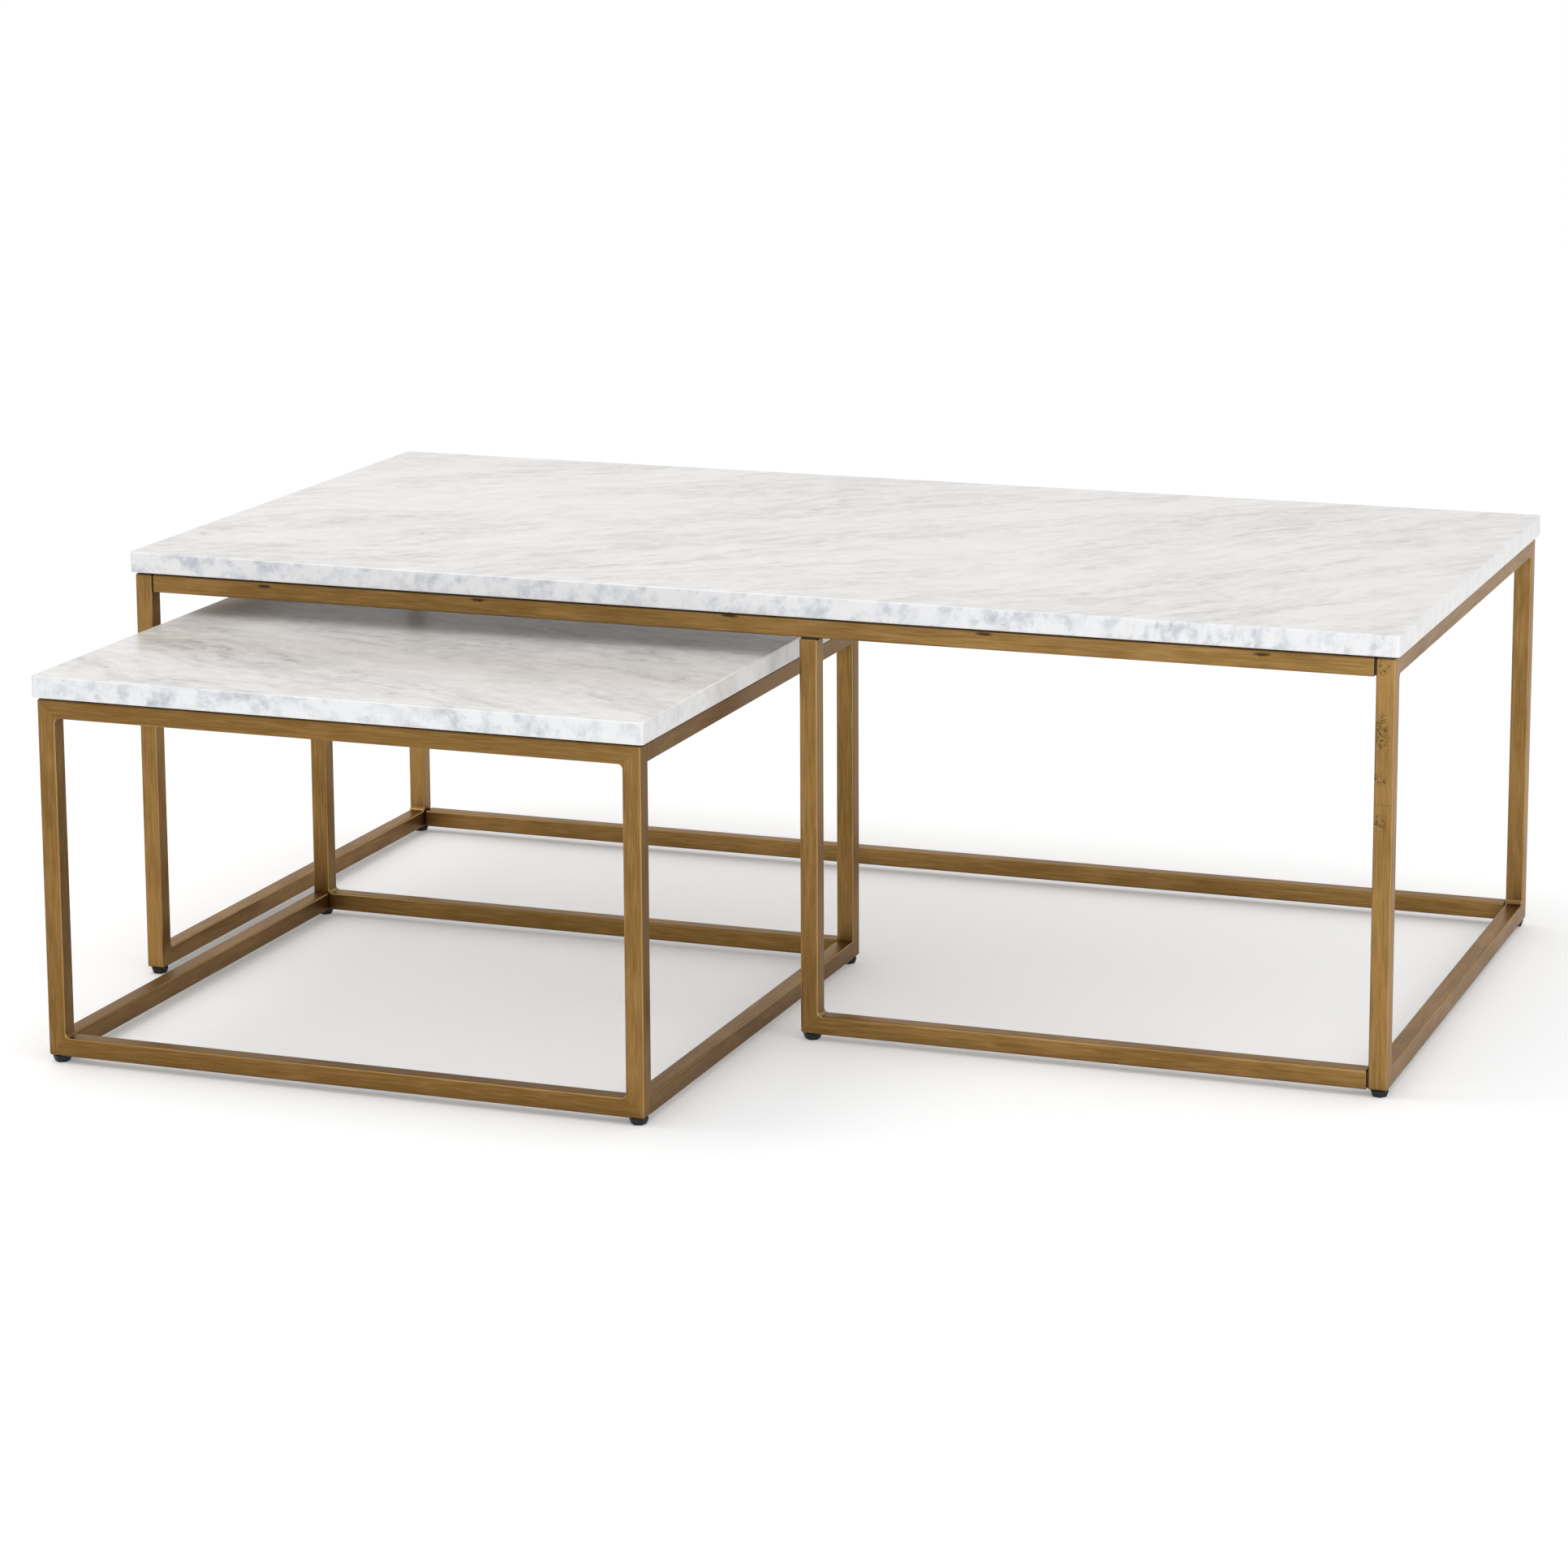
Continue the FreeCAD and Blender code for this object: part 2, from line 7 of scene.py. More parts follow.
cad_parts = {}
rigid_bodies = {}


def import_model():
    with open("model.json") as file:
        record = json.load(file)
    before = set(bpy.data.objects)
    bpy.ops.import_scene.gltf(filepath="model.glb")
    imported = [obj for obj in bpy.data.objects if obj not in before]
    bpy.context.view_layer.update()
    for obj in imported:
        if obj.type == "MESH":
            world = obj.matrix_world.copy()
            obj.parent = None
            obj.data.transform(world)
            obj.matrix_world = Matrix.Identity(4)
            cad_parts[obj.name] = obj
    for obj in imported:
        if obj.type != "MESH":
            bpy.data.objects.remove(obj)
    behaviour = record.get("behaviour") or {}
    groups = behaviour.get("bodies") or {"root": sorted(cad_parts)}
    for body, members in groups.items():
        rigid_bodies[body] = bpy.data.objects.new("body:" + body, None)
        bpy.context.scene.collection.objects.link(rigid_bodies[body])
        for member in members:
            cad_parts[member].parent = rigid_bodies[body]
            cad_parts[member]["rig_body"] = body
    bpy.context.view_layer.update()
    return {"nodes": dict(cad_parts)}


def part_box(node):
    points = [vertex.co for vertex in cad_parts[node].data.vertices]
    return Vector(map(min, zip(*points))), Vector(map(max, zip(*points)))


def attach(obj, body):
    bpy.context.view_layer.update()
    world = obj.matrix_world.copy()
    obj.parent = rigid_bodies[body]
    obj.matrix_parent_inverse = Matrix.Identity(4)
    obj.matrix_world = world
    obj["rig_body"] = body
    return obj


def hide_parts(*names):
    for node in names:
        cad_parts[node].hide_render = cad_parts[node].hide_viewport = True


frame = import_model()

nodes = frame["nodes"]

# ---------------------------------------------------------------- brass frames
# Both tables stand on frames of square brass tube, mitred, welded and ground smooth at the corners.
# Every face is brushed along its tube, left to go brown and sealed under a thin lacquer. The large
# frame keeps its clamp marks, and stains and a scratch on one leg.


class Tone:
    """One socket of a shader. A sum written with it adds the Math nodes that it needs."""

    def __init__(self, tree, socket=None):
        self.tree = tree
        self.socket = socket

    def node(self, kind, settings=None, values=None, output=0):
        """Adds a node of a kind: its settings, then a value or a Tone for each socket."""
        made = self.tree.nodes.new("ShaderNode" + kind)
        for name, setting in (settings or {}).items():
            setattr(made, name, setting)
        for name, value in (values or {}).items():
            if isinstance(value, Tone):
                self.tree.links.new(value.socket, made.inputs[name])
            else:
                made.inputs[name].default_value = value
        return Tone(self.tree, made.outputs[output]) if made.outputs else None

    def reckon(self, operation, *values):
        return self.node("Math", {"operation": operation}, dict(enumerate(values)))

    def __add__(self, other):
        return self.reckon("ADD", self, other)

    def __sub__(self, other):
        return self.reckon("SUBTRACT", self, other)

    def __rsub__(self, other):
        return self.reckon("SUBTRACT", other, self)

    def __mul__(self, other):
        return self.reckon("MULTIPLY", self, other)

    __radd__ = __add__
    __rmul__ = __mul__

    def size(self):
        return self.reckon("ABSOLUTE", self)

    def larger(self, other):
        return self.reckon("MAXIMUM", self, other)

    def ease(self, low, high):
        """0 below low, 1 above high, and a smooth step between."""
        settings = {"interpolation_type": "SMOOTHSTEP"}
        return self.node("MapRange", settings, {"Value": self, "From Min": low, "From Max": high})

    def paint(self, under, over):
        """A colour that goes from under to over as this mask goes from 0 to 1."""
        under, over = (c if isinstance(c, Tone) else (*c, 1.0) for c in (under, over))
        return self.node("Mix", {"data_type": "RGBA"}, {0: self, 6: under, 7: over}, output=2)

    def axes(self):
        """The x, y and z of a place or a direction."""
        split = self.node("SeparateXYZ", None, {"Vector": self}).socket.node
        return [Tone(self.tree, socket) for socket in split.outputs]

    def stretched(self, x, y, z):
        return self.node("VectorMath", {"operation": "MULTIPLY"}, {0: self, 1: (x, y, z)})

    def blot(self, at, half):
        """How far this place is from a point, with 1 on the surface of an ellipsoid about it."""
        offset = self.node("VectorMath", {"operation": "SUBTRACT"}, {0: self, 1: at})
        offset = offset.stretched(*(1 / length for length in half))
        return self.node("VectorMath", {"operation": "LENGTH"}, {0: offset}, output="Value")

    def noise(self, scale=1.0, detail=3.0, roughness=0.5, distortion=0.0):
        """Cloudy noise from 0 to 1, with scale as its clouds to a metre."""
        values = {
            "Vector": self,
            "Scale": scale,
            "Detail": detail,
            "Roughness": roughness,
            "Distortion": distortion,
        }
        return self.node("TexNoise", None, values)


def new_finish(name):
    """A material with an empty node tree, and a Tone of places on the piece in metres."""
    material = bpy.data.materials.new(name)
    material.use_nodes = True
    material.node_tree.nodes.clear()
    tree = Tone(material.node_tree)
    return material, tree.node("TexCoord", output="Object")


def seal(place, surface, height=None, depth=0.0):
    """Ends a material in a Principled shader, with an optional bump of a depth in metres."""
    values = dict(surface)
    if height is not None:
        bump = {"Strength": 1.0, "Distance": depth, "Height": height}
        values["Normal"] = place.node("Bump", None, bump)
    shader = place.node("BsdfPrincipled", None, values, output="BSDF")
    place.node("OutputMaterial", None, {"Surface": shader})


def facing(place):
    """How squarely a face looks along x, y and z, and how far it is turned away from all three."""
    x, y, z = (axis.size() for axis in place.node("NewGeometry", output="Normal").axes())
    return x, y, z, 1 - x.larger(y.larger(z))


def dress(name, material):
    """Puts one material on a CAD piece."""
    nodes[name].data.materials.clear()
    nodes[name].data.materials.append(material)


X, Y, Z = 0, 1, 2
BRASS = (0.292, 0.158, 0.047)
BRASS_BROWN = (0.185, 0.095, 0.023)
BRASS_BRIGHT = (0.540, 0.350, 0.150)
# a dark brown for real stains, also used for the painted shade on sideways faces and in corners
BRASS_STAIN_AND_SHADE = (0.055, 0.028, 0.010)
BRASS_SKIM = (0.86, 0.81, 0.75, 1.0)  # the patina dulls what a face seen edge on reflects
CREASE_REACH = 0.022  # how far from a corner, and from the slab above, the painted shade and patina reach
BRUSH_DEPTH = 0.00003

CLAMP_MARKS = [(-0.489, 0.0045), (-0.262, 0.0035), (-0.004, 0.0020), (0.246, 0.0030), (0.508, 0.0045)]
CLAMP_HALF = (0.0110, 0.0040, 0.0024)
STAINED_PLACES = [(0.0085, 0.010), (0.068, 0.024), (0.110, 0.008), (0.150, 0.011)]
SCRATCH_DROP = 0.134
rail_low, rail_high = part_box("large_rail_front")
leg_low, leg_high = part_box("large_leg_front_right")
stained_face = (leg_low.x + 0.006, leg_low.y)


def clamp_marks(place, ragged):
    """Short dark marks on the large front rail, each so far along x and below the rail's top."""
    marks = []
    for along, drop in CLAMP_MARKS:
        distance = place.blot((along, rail_low.y, rail_high.z - drop), CLAMP_HALF)
        marks.append(1 - (distance + ragged * 1.2).ease(0.75, 1.7))
    return sum(marks)


def leg_stains(place, ragged):
    """Rashes of stain, each so far below the top of the front right leg, and a scratch across it."""
    rash = sum(
        1 - place.blot((*stained_face, leg_high.z - drop), (0.009, 0.006, half)).ease(0.3, 1.25)
        for drop, half in STAINED_PLACES
    )
    smudge = place.noise(210.0, 4.0, 0.65).ease(0.42, 0.66) * rash * 0.55
    specks = (ragged + rash * 0.14).ease(0.65, 0.76) * rash.ease(0.1, 0.5) * 0.6
    height = place.axes()[Z] + ragged * 0.0009
    line = 1 - (height - (leg_high.z - SCRATCH_DROP + 0.00045)).size().ease(0.0001, 0.0006)
    scratch = (*stained_face, leg_high.z - SCRATCH_DROP)
    across = 1 - place.blot(scratch, (0.011, 0.006, 0.011)).ease(0.8, 1.1)
    return smudge + specks + line * across * 0.45


def brushed_brass(table, run, wear_less_shade):
    """Antique brass brushed along one axis. The more wear it is given, the less brown is left on it.
    The small table's copies are given less, as painted shade.
    """
    material, place = new_finish(f"antique_brass_{table}_{'xyz'[run]}")

    def brushed(across, along, *rest):
        """Noise drawn out along the tube, with so many marks to a metre across and along."""
        stretch = [across] * 3
        stretch[run] = along
        return place.stretched(*stretch).noise(1.0, *rest)

    hair = brushed(1500.0, 30.0, 2.0, 0.6)
    streaks = brushed(420.0, 22.0, 3.0, 0.6)
    clouds = brushed(70.0, 16.0, 4.0, 0.6, 0.3)
    patina = place.noise(8.0, 3.0)
    ragged = place.noise(560.0, 3.0, 0.6)
    stains = place.noise(240.0, 2.0, 0.6).ease(0.735, 0.78) * 0.6
    marks = {X: clamp_marks, Z: leg_stains}.get(run) if table == "large" else None
    if marks:
        stains = (stains + marks(place, ragged)).ease(0.0, 1.0)

    # Edges are painted brighter: partly rubbed wear, partly a painted highlight along the rounds.
    # Sideways faces, other than those at the large table's two ends, are painted a darker brown:
    # painted shade, standing in for the shaded floor that they would mirror.
    sideways, _, _, turned = facing(place)
    edge = turned.ease(0.02, 0.22) * (0.5 + clouds * 0.9)
    unshaded_ends = place.axes()[X].size().ease(0.605, 0.625)
    mirrored_floor_shade = sideways.ease(0.6, 0.9) * (1 - unshaded_ends)
    # Corners, and faces close under the slab, are painted a darker brown from ambient occlusion:
    # patina in the hollows together with painted shade.
    openness = place.node("AmbientOcclusion", {"samples": 4}, {"Distance": CREASE_REACH}, output="AO")
    crease_shade_and_patina = 1 - openness.ease(0.45, 0.92)

    tone = (clouds * 0.30 + streaks * 0.36 + patina * 0.34 + wear_less_shade).ease(0.38, 0.62)
    colour = tone.paint(BRASS_BROWN, BRASS)
    colour = (hair.ease(0.42, 0.72) * 0.24).paint(colour, BRASS_BRIGHT)
    colour = (edge * 0.50).paint(colour, BRASS_BRIGHT)
    colour = (mirrored_floor_shade * 0.34 + crease_shade_and_patina * 0.50).paint(colour, BRASS_STAIN_AND_SHADE)
    colour = (stains * 0.85).paint(colour, BRASS_STAIN_AND_SHADE)
    surface = {
        "Base Color": colour,
        "Metallic": 1.0,
        "Roughness": 0.27 + hair * 0.12 + (1 - tone) * 0.05 + stains * 0.3,
        "Specular Tint": BRASS_SKIM,
        "Coat Weight": 0.06,
        "Coat Roughness": 0.2,
    }
    seal(place, surface, hair * 0.5 + streaks * 0.5 - stains * 2.0, BRUSH_DEPTH)
    return material


# The small table's brass is made a darker brown all over: painted shade, standing in for the darker
# surroundings that it mirrors.
for table, painted_shade in (("large", 0.0), ("small", 0.075)):
    along_x = brushed_brass(table, X, -0.02 - painted_shade)
    along_y = brushed_brass(table, Y, -painted_shade)
    upright = brushed_brass(table, Z, 0.03 - painted_shade)
    for name in nodes:
        if name.startswith(table + "_leg_"):
            dress(name, upright)
        elif name.startswith((table + "_rail_", table + "_stretcher_", table + "_cross_bar")):
            dress(name, along_x if name.endswith(("_front", "_back")) else along_y)

# ---------------------------------------------------------------- joint spigots and rivet nuts
# Square steel spigots carry the butt joints and show as a dark line at each: they are browned with
# the frame. Zinc plated rivet nuts are squeezed into the underside of the frames to take the feet.


def zinc_plate():
    material, place = new_finish("zinc_plate")
    grain = place.noise(420.0, 4.0, 0.6)
    dull = place.noise(60.0, 3.0).ease(0.4, 0.7)
    surface = {
        "Base Color": dull.paint((0.20, 0.20, 0.21), (0.09, 0.09, 0.09)),
        "Metallic": 0.9,
        "Roughness": 0.42 + grain * 0.2,
    }
    seal(place, surface, grain, 0.00003)
    return material


def browned_steel():
    material, place = new_finish("browned_steel")
    grain = place.noise(500.0, 4.0, 0.6)
    surface = {
        "Base Color": grain.paint((0.010, 0.007, 0.004), (0.030, 0.019, 0.010)),
        "Roughness": 0.6 + grain * 0.2,
    }
    seal(place, surface, grain, 0.00003)
    return material


zinc, browned = zinc_plate(), browned_steel()
for name in nodes:
    if name.endswith("_rivet_nuts"):
        dress(name, zinc)
    elif name.endswith("_joint_spigots"):
        dress(name, browned)

# ---------------------------------------------------------------- feet
# Each leg stands on a hexagonal levelling foot of black plastic, moulded round the head of an M8
# stud. The lower part tapers to a hollowed sole, and the studs' rolled threads turn in the nuts.

THREAD_PITCH = 0.00125
THREAD_DEPTH = 0.00065
THREAD_STEPS = 8  # rings to a turn of the thread
STUD_SIDES = 24
STUD_POINT = 0.0009  # length of the cone at the top of the stud
STUD_NECK = 0.0003  # plain length between the plastic and the thread
FOOT_SIDES = 48
FOOT_WAIST = 0.66  # share of the foot's height at which the taper meets the upright hexagon
CORNER_CUT = 1.115  # the points of the hexagon are turned down to this much of its flats


def new_piece(name, verts, faces, material, body, slot, *replaced):
    """A smooth mesh piece that rides on a body in place of its CAD nodes."""
    mesh = bpy.data.meshes.new(name)
    mesh.from_pydata(verts, [], faces)
    mesh.validate()
    mesh.shade_smooth()
    mesh.materials.append(material)
    piece = bpy.data.objects.new(name, mesh)
    bpy.context.scene.collection.objects.link(piece)
    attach(piece, body)
    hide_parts(*replaced)
    return piece


def lofted(rings):
    """The closed skin of a stack of rings that all have the same number of points."""
    verts = [point for ring in rings for point in ring]
    count = len(rings[0])
    faces = [
        (i + j, i + (j + 1) % count, i + count + (j + 1) % count, i + count + j)
        for i in range(0, len(verts) - count, count)
        for j in range(count)
    ]
    faces.append(tuple(reversed(range(count))))
    faces.append(tuple(range(len(verts) - count, len(verts))))
    return verts, faces


def foot_black():
    material, place = new_finish("foot_black")
    pebble = place.noise(1400.0, 3.0, 0.6)
    scuff = place.noise(160.0, 4.0).ease(0.55, 0.75)
    surface = {
        "Base Color": scuff.paint((0.008, 0.007, 0.006), (0.030, 0.027, 0.024)),
        "Roughness": 0.42 + scuff * 0.25,
        "Specular IOR Level": 0.3,
    }
    seal(place, surface, pebble, 0.00005)
    return material


def foot_profile(height, flats, stud_radius, stud_foot):
    """Levels of a foot: height above the sole, half width, and whether it is a hexagon there."""
    waist = FOOT_WAIST * height
    return [
        (0.0006, 0.25 * flats, False),  # hollow of the sole
        (0.0006, 0.50 * flats, False),
        (0.0002, 0.56 * flats, False),
        (0.0, 0.61 * flats, True),  # rim that meets the floor
        (0.0, 0.70 * flats, True),
        (0.00025, 0.765 * flats, True),
        (0.0008, 0.815 * flats, True),  # taper
        (waist - 0.0003, 0.962 * flats, True),
        (waist - 0.0001, 0.945 * flats, True),  # groove at the waist
        (waist + 0.0001, 0.950 * flats, True),
        (waist + 0.0003, 0.985 * flats, True),
        (height - 0.0007, 0.995 * flats, True),
        (height - 0.0002, 0.970 * flats, True),
        (height, 0.920 * flats, True),  # top face
        (height, 0.780 * flats, False),
        (height - 0.0004, 0.740 * flats, False),  # ring pressed into the top
        (height - 0.0004, 0.640 * flats, False),
        (height - 0.0001, 0.600 * flats, False),
        (height - 0.0001, stud_radius, False),
        (stud_foot, stud_radius, False),  # socket for the stud
    ]


def foot_ring(at, turned, level, flats, hexagonal):
    """One level of a foot: a hexagon with its points turned down, or a circle."""
    ring = []
    for step in range(FOOT_SIDES):
        angle = math.tau * step / FOOT_SIDES
        off_flat = (angle + math.pi / 6) % (math.pi / 3) - math.pi / 6
        radius = min(flats / math.cos(off_flat), flats * CORNER_CUT) if hexagonal else flats
        angle += turned
        ring.append((at.x + radius * math.cos(angle), at.y + radius * math.sin(angle), level))
    return ring


def thread_rings(at, low, high, neck, radius):
    """Rings up a stud from low to high, with a helical groove that fades in above its neck."""
    rise = THREAD_PITCH / THREAD_STEPS
    turns = [neck + rise * (i + 1) for i in range(int((high - neck) / rise) - 1)]
    rings = []
    for level in [low, neck, *turns, high]:
        fade = min(1.0, max(0.0, (level - neck) / THREAD_PITCH))
        point_cut = max(0.0, level - (high - STUD_POINT))
        ring = []
        for side in range(STUD_SIDES):
            angle = math.tau * side / STUD_SIDES
            phase = ((level - neck) / THREAD_PITCH - side / STUD_SIDES) % 1.0
            groove = THREAD_DEPTH * fade * (1 - abs(2 * phase - 1))
            reach = min(radius - groove, radius - point_cut)
            ring.append((at.x + reach * math.cos(angle), at.y + reach * math.sin(angle), level))
        rings.append(ring)
    return rings


plastic = foot_black()
for foot in [name.removesuffix("_base") for name in nodes if name.endswith("_base")]:
    base, stud = nodes[foot + "_base"], foot + "_stud"
    body = base["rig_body"]
    low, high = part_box(foot + "_base")
    stud_low, stud_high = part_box(stud)
    centre = (low + high) / 2
    stud_radius = (stud_high.x - stud_low.x) / 2
    point = max((v.co.xy - centre.xy for v in base.data.vertices), key=lambda offset: offset.length)
    flats = point.length * math.cos(math.pi / 6)
    turned = math.atan2(point.y, point.x) + math.pi / 6

    profile = foot_profile(high.z - low.z, flats, stud_radius, stud_low.z - low.z)
    rings = [foot_ring(centre, turned, low.z + level, *shape) for level, *shape in profile]
    new_piece(foot + "_glide", *lofted(rings), plastic, body, "foot_plastic", foot + "_base")
    rings = thread_rings(centre, stud_low.z, stud_high.z, high.z + STUD_NECK, stud_radius)
    new_piece(foot + "_thread", *lofted(rings), zinc, body, "steel_fittings", stud)

# ---------------------------------------------------------------- pads
# Clear silicone discs keep each slab off the metal and stop it from sliding. They are punched from
# a sheet, stuck along the top of the frame, and bulge a little under the weight of the stone.

PAD_RADIUS = 0.006
PAD_SIDES = 32
PAD_PROFILE = [  # shares of the pad's height and of its radius, from the bottom up
    (0.0, 0.50),
    (0.0, 0.90),
    (0.08, 0.955),
    (0.30, 0.99),
    (0.5, 1.0),
    (0.70, 0.99),
    (0.92, 0.955),
    (1.0, 0.90),
    (1.0, 0.50),
]


def clear_silicone():
    material, place = new_finish("clear_silicone")
    haze = place.noise(300.0, 3.0)
    surface = {
        "Base Color": haze.paint((0.62, 0.62, 0.60), (0.72, 0.72, 0.70)),
        "Roughness": 0.25 + haze * 0.2,
    }
    seal(place, surface, haze, 0.00004)
    return material


def pad_ring(x, y, level, radius):
    angles = [math.tau * side / PAD_SIDES for side in range(PAD_SIDES)]
    return [(x + radius * math.cos(angle), y + radius * math.sin(angle), level) for angle in angles]


def stuck_pads(name, body, silicone, xs, ys):
    """One piece with a pad at each crossing of the xs and the ys."""
    low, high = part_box(name)
    levels = [(low.z + (high.z - low.z) * share, PAD_RADIUS * wide) for share, wide in PAD_PROFILE]
    verts, faces = [], []
    for x in xs:
        for y in ys:
            rings = [pad_ring(x, y, level, radius) for level, radius in levels]
            pad_verts, pad_faces = lofted(rings)
            faces += [tuple(corner + len(verts) for corner in face) for face in pad_faces]
            verts += pad_verts
    new_piece(name + "_bulged", verts, faces, silicone, body, "clear_pad", name)


def centre_of(name):
    low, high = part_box(name)
    return (low + high) / 2


silicone = clear_silicone()
front_left, back_right = centre_of("large_leg_front_left"), centre_of("large_leg_back_right")
xs = (front_left.x, centre_of("large_leg_middle").x, back_right.x)
ys = (front_left.y, (front_left.y + back_right.y) / 2, back_right.y)
stuck_pads("large_top_pads", "large_table", silicone, xs, ys)
front_left, back_right = centre_of("small_leg_front_left"), centre_of("small_leg_back_right")
xs, ys = (front_left.x, back_right.x), (front_left.y, back_right.y)
stuck_pads("small_top_pads", "small_table", silicone, xs, ys)

# ---------------------------------------------------------------- marble slabs
# Each top is one slab of white marble, sawn and honed, with its edges eased by hand. Fine grey
# veins run slantwise across the top and come out on the edges as cloudy patches.

SLAB_CORNER = 0.005
SLAB_ARRIS = 0.0015
SLAB_STEP = 0.0025  # between points round the edge
CORNER_STEPS = 8
ARRIS_STEPS = 5
CAP_MARGIN = 0.0012  # a flat strip inside the arris keeps the top's shading flat
HAND_WOBBLE = 0.00018
WOBBLES = 31.0  # waves of the hand to a metre
CHIP_DEPTH = 0.0027
CHIPS = 140.0  # places to a metre at which the arris might chip
CHIP_RARITY = 0.62
GROUND_WHITE_AND_GLINT = (0.90, 0.90, 0.90)


def slab_outline(low, high):
    """Centres and outward directions round a rectangle with rounded corners."""
    inner = [
        Vector((high.x - SLAB_CORNER, high.y - SLAB_CORNER)),
        Vector((low.x + SLAB_CORNER, high.y - SLAB_CORNER)),
        Vector((low.x + SLAB_CORNER, low.y + SLAB_CORNER)),
        Vector((high.x - SLAB_CORNER, low.y + SLAB_CORNER)),
    ]
    outline = []
    for quarter, corner in enumerate(inner):
        for step in range(CORNER_STEPS + 1):
            angle = math.pi / 2 * (quarter + step / CORNER_STEPS)
            outline.append((corner, Vector((math.cos(angle), math.sin(angle)))))
        run = inner[(quarter + 1) % 4] - corner
        steps = round(run.length / SLAB_STEP)
        outline += [(corner + run * i / steps, outline[-1][1]) for i in range(1, steps)]
    return outline


def slab_profile():
    """From the cap to the side: how far in, how far from the face, and how much the hand wobbles."""
    profile = [(SLAB_ARRIS + CAP_MARGIN, 0.0, 0.0)]
    for step in range(ARRIS_STEPS + 1):
        angle = math.pi / 2 * step / ARRIS_STEPS
        profile.append((SLAB_ARRIS * (1 - math.sin(angle)), SLAB_ARRIS * (1 - math.cos(angle)), 1.0))
    profile.append((0.0, SLAB_ARRIS + CAP_MARGIN, 1.0))
    return profile


def slab_ring(outline, face, up, inset, rise, worked):
    """One ring of a slab, worked down from its top face or up from its bottom one."""
    arris = 0 < inset < SLAB_ARRIS + CAP_MARGIN
    ring = []
    for centre, outward in outline:
        edge = centre + outward * SLAB_CORNER
        here = Vector((edge.x, edge.y, 0.05 if up else 0.0))
        wobble = HAND_WOBBLE * worked * (0.5 + 0.5 * noise.noise(here * WOBBLES))
        chip = max(0.0, noise.noise(here * CHIPS) - CHIP_RARITY) * CHIP_DEPTH if arris else 0.0
        spot = centre + outward * (SLAB_CORNER - (inset + wobble + chip))
        drop = rise + chip if rise > 0 else rise
        ring.append((spot.x, spot.y, face - drop if up else face + drop))
    return ring


def slab_piece(name, node, material, body, slot):
    low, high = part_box(node)
    outline, profile = slab_outline(low, high), slab_profile()
    rings = [slab_ring(outline, low.z, False, *level) for level in profile]
    rings += [slab_ring(outline, high.z, True, *level) for level in reversed(profile)]
    return new_piece(name, *lofted(rings), material, body, slot, node)


def marble(name, lie, bend, white, clouded, blued, vein, strength):
    """Honed marble whose veins lie at an angle to the long side and curve across the slab.

    The top goes from white to clouded, the edges from white to blued, and both are threaded with
    vein. The strength is that of the veins on the top.
    """
    material, place = new_finish(name)
    x, y, z = place.axes()
    sway = place.noise(2.4, 2.0) * 0.16 + place.noise(14.0, 2.0) * 0.030
    along = x * math.cos(lie) + y * math.sin(lie)
    across = y * math.cos(lie) - x * math.sin(lie) - x * x * bend + z * 0.15 + sway

    def laid(long, short, deep, *rest):
        """Noise that lies with the veins, with so many clouds to a metre each way."""
        places = {"X": along * long, "Y": across * short, "Z": z * deep}
        return place.node("CombineXYZ", None, places).noise(1.0, *rest)

    mottle = place.noise(75.0, 6.0, 0.68, 0.2)
    mist = laid(24.0, 72.0, 48.0, 6.0, 0.62, 0.2) * 0.62 + mottle * 0.38
    banks = laid(3.0, 12.0, 16.0, 4.0, 0.55, 0.3)
    course = laid(3.6, 15.0, 12.0, 5.0, 0.56, 0.4)
    flecks = laid(110.0, 260.0, 160.0, 3.0, 0.6, 0.0)
    crystals = place.noise(1100.0, 2.0, 0.5)
    endwise, _, level, turned = facing(place)
    bank = banks.ease(0.36, 0.64)

    drawn_out = mist.ease(0.36, 0.66) * (0.5 + bank * 0.5) + bank * 0.28
    thread = (1 - (course - 0.5).size().ease(0.0, 0.022)) * (0.25 + bank * 0.75)
    on_top = (drawn_out * strength).paint(white, clouded)
    on_top = (thread * mist.ease(0.38, 0.6) * strength * 0.55).paint(on_top, vein)

    patches = mist.ease(0.44, 0.64) * (0.55 + bank * 0.45)
    # End faces take fainter patches, as the bedding runs, and are painted a little darker overall:
    # painted shade.
    on_edge = (patches * (1 - endwise * 0.6) * 0.85 + 0.06 + endwise * 0.30).paint(white, blued)
    on_edge = (flecks.ease(0.64, 0.74) * patches * (1 - endwise) * 0.6).paint(on_edge, vein)

    # The arris is painted whiter: partly the paler ground stone, partly a painted highlight.
    arris = turned.ease(0.02, 0.20) * (0.3 + banks)
    colour = level.ease(0.2, 0.5).paint(on_edge, on_top)
    colour = (arris * 0.35).paint(colour, GROUND_WHITE_AND_GLINT)
    surface = {"Base Color": colour, "Roughness": 0.11 + mist * 0.07 + crystals * 0.05 + arris * 0.1}
    seal(place, surface, crystals * 0.5 + mist * 0.5, 0.00001)
    return material


large_stone = marble(
    "white_marble_large",
    lie=0.74,
    bend=0.22,
    white=(0.765, 0.745, 0.725),
    clouded=(0.43, 0.425, 0.42),
    blued=(0.43, 0.445, 0.475),
    vein=(0.22, 0.225, 0.24),
    strength=0.55,
)
small_stone = marble(
    "white_marble_small",
    lie=-0.32,
    bend=0.0,
    white=(0.76, 0.745, 0.725),
    clouded=(0.41, 0.407, 0.40),
    blued=(0.41, 0.42, 0.44),
    vein=(0.20, 0.205, 0.215),
    strength=0.60,
)
slab_piece("large_slab", "large_top", large_stone, "large_table", "marble_large")
slab_piece("small_slab", "small_top", small_stone, "small_table", "marble_small")

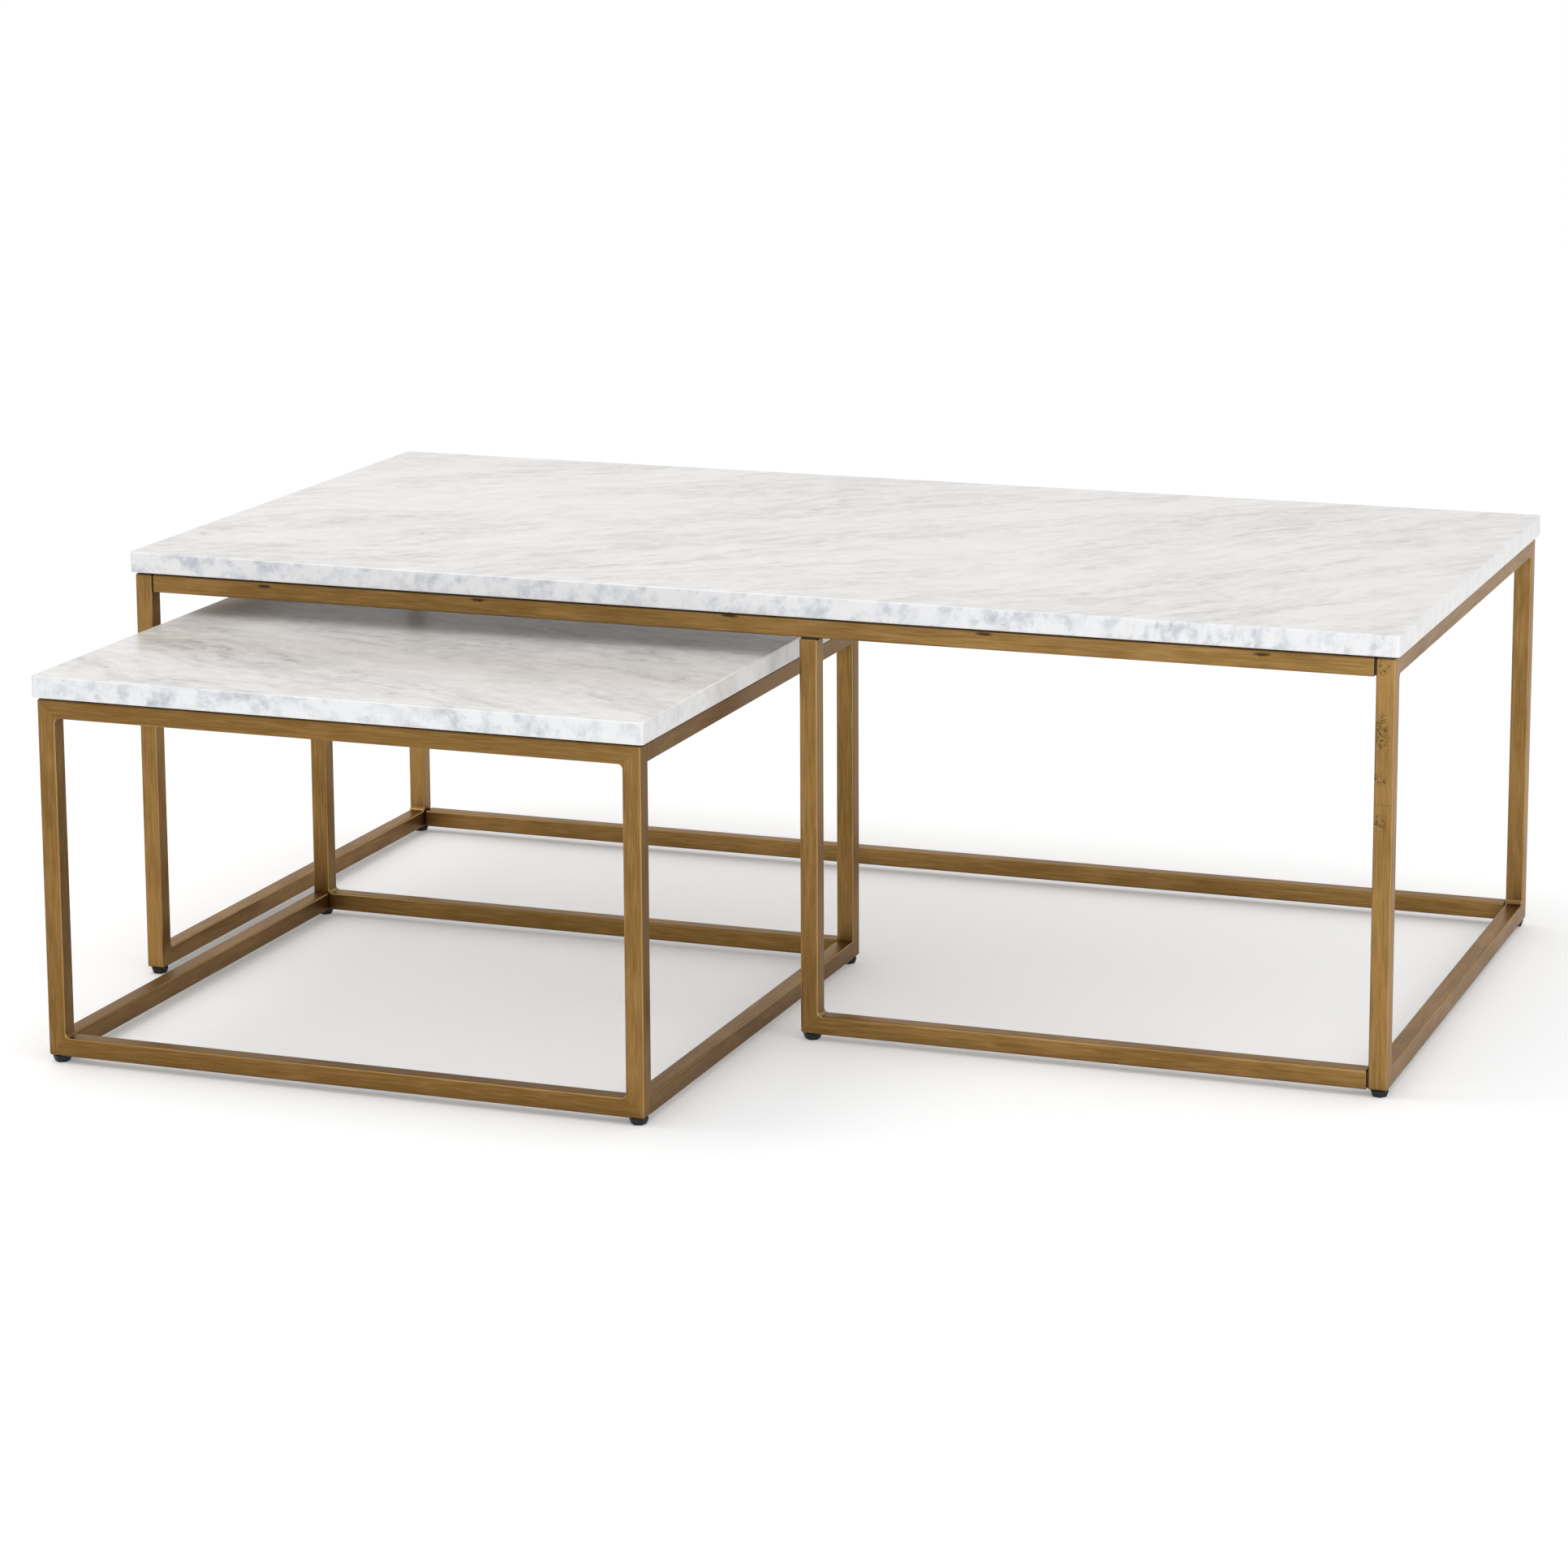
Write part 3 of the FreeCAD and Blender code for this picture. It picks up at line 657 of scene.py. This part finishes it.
# ---------------------------------------------------------------- floor and light
# A white studio: a broad white floor that glows a little, in a white room that is brighter
# overhead. A tall soft light stands at the right, a small one hangs above and to the left, and a
# wide, low, cool one stands in front.

FLOOR_REACH = 40.0


def floor_white():
    material, place = new_finish("floor_white")
    surface = {
        "Base Color": place.noise(3.0).paint((0.84, 0.84, 0.84), (0.85, 0.85, 0.85)),
        "Roughness": 0.9,
        "Emission Color": (1.0, 1.0, 1.0, 1.0),
        "Emission Strength": 0.17,
    }
    seal(place, surface)
    return material


floor_mesh = bpy.data.meshes.new("floor")
corners = [(x * FLOOR_REACH, y * FLOOR_REACH, 0.0) for x, y in ((-1, -1), (1, -1), (1, 1), (-1, 1))]
floor_mesh.from_pydata(corners, [], [(0, 1, 2, 3)])
floor_mesh.materials.append(floor_white())
floor = bpy.data.objects.new("floor", floor_mesh)
bpy.context.scene.collection.objects.link(floor)

world = bpy.data.worlds.new("studio")
world.use_nodes = True
room = world.node_tree.nodes["Background"]
room.inputs["Color"].default_value = (1.0, 1.0, 1.0, 1.0)
upward = Tone(world.node_tree).node("TexCoord", output="Generated").axes()[Z]
world.node_tree.links.new((0.80 + upward.ease(0.0, 0.6) * 0.20).socket, room.inputs["Strength"])
bpy.context.scene.world = world


def soft_light(name, at, towards, width, height, power, colour):
    """A rectangular area light, with its sizes in metres and its power in watts."""
    data = bpy.data.lights.new(name, "AREA")
    data.shape = "RECTANGLE"
    data.size = width
    data.size_y = height
    data.energy = power
    data.color = colour
    light = bpy.data.objects.new(name, data)
    light.location = at
    light.rotation_euler = (Vector(towards) - Vector(at)).to_track_quat("-Z", "Y").to_euler()
    bpy.context.scene.collection.objects.link(light)


soft_light("side_light", (3.0, -1.1, 0.85), (0.2, 0.0, 0.3), 0.6, 1.7, 13.0, (1.0, 0.97, 0.93))
soft_light("over_light", (-1.1, -0.3, 2.8), (0.0, 0.0, 0.3), 1.0, 1.0, 14.0, (1.0, 0.97, 0.94))
soft_light("front_light", (0.4, -4.5, 0.6), (0.0, 0.0, 0.3), 4.0, 1.0, 38.0, (0.60, 0.78, 1.0))

# ---------------------------------------------------------------- camera
# It stands in front of the pair and to the right, a little above them. Its view is shifted down
# instead of dipping further, so the legs stay nearly upright.

camera_data = bpy.data.cameras.new("camera")
camera_data.sensor_width = 36.0
camera_data.lens = 104.3
camera_data.shift_y = -0.1377
camera_data.clip_end = 100.0
camera = bpy.data.objects.new("camera", camera_data)
swing, dip, tilt = math.radians(20.31), math.radians(10.72), math.radians(-0.28)
camera.matrix_world = (
    Matrix.Translation((1.4930, -4.0679, 1.2415))
    @ Matrix.Rotation(swing, 4, "Z")
    @ Matrix.Rotation(math.pi / 2 - dip, 4, "X")
    @ Matrix.Rotation(tilt, 4, "Z")
)
bpy.context.scene.collection.objects.link(camera)
bpy.context.scene.camera = camera
bpy.context.scene.view_settings.view_transform = "Standard"
